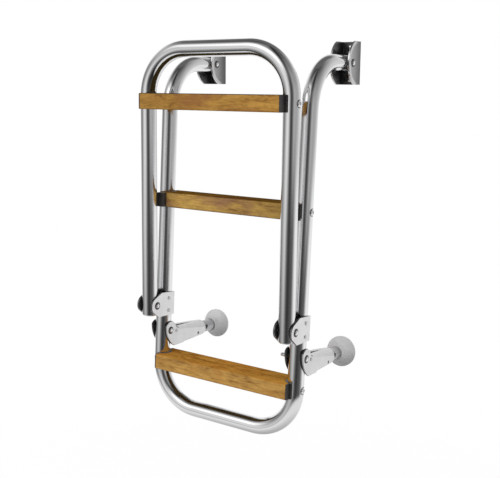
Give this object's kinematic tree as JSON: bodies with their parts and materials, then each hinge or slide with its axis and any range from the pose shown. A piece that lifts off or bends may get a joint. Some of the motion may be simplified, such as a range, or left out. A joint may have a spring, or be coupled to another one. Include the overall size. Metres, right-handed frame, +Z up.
{
  "type": "boat boarding ladder",
  "caption": "Folding stainless boarding ladder with wooden treads, hooked side tubes pinned in hull brackets, and pivoting stand-off arms that end in round hull pads.",
  "frame": {"origin": "middle of the flat hull face of the left bracket, level with its cross bolt", "axes": "X across the ladder from the left bracket to the right one, Y towards the hull, Z up"},
  "size_m": [0.3, 0.2239, 0.5994],
  "materials": {
    "tube": "polished stainless tube",
    "plate": "satin stainless sheet",
    "fastener": "stainless bolts and rivets",
    "tread": "oiled golden brown timber",
    "saddle": "black moulded plastic",
    "pad": "light grey moulded plastic"
  },
  "bodies": {
    "hull_brackets": {"left_bracket": "plate", "left_bracket_bolt": "fastener", "right_bracket": "plate", "right_bracket_bolt": "fastener"},
    "upper_section": {"rear_tube": "tube", "middle_step": "tread", "middle_left_saddle": "saddle", "middle_right_saddle": "saddle", "middle_left_bolt": "fastener", "middle_right_bolt": "fastener", "bottom_step": "tread", "bottom_left_saddle": "saddle", "bottom_right_saddle": "saddle", "bottom_left_bolt": "fastener", "bottom_right_bolt": "fastener", "left_spacer": "saddle", "left_outer_plate": "plate", "left_inner_plate": "plate", "left_fold_bolt": "fastener", "left_upper_rivet": "fastener", "left_lower_rivet": "fastener", "left_arm_bolt": "fastener", "right_spacer": "saddle", "right_outer_plate": "plate", "right_inner_plate": "plate", "right_fold_bolt": "fastener", "right_upper_rivet": "fastener", "right_lower_rivet": "fastener", "right_arm_bolt": "fastener"},
    "lower_section": {"front_tube": "tube", "left_leg_plug": "tube", "right_leg_plug": "tube", "top_step": "tread", "top_left_saddle": "saddle", "top_right_saddle": "saddle", "top_left_bolt": "fastener", "top_right_bolt": "fastener"},
    "left_arm_set": {"left_arm": "plate", "left_stop_pin": "fastener", "left_stem": "tube", "left_pad": "pad"},
    "right_arm_set": {"right_arm": "plate", "right_stop_pin": "fastener", "right_stem": "tube", "right_pad": "pad"}
  },
  "joints": [
    {"name": "ladder_swing", "type": "hinge", "parent": "hull_brackets", "child": "upper_section", "pos_m": [0.125, -0.03, 0], "axis": [-1, 0, 0], "range_deg": [0, 90]},
    {"name": "fold_hinge", "type": "hinge", "parent": "upper_section", "child": "lower_section", "pos_m": [0.125, -0.2002, -0.38305], "axis": [1, 0, 0], "range_deg": [0, 173]},
    {"name": "left_arm_tilt", "type": "hinge", "parent": "upper_section", "child": "left_arm_set", "pos_m": [0, -0.16602, -0.433], "axis": [1, 0, 0], "range_deg": [-7, 26]},
    {"name": "right_arm_tilt", "type": "hinge", "parent": "upper_section", "child": "right_arm_set", "pos_m": [0.25, -0.16602, -0.433], "axis": [1, 0, 0], "range_deg": [-7, 26]}
  ]
}
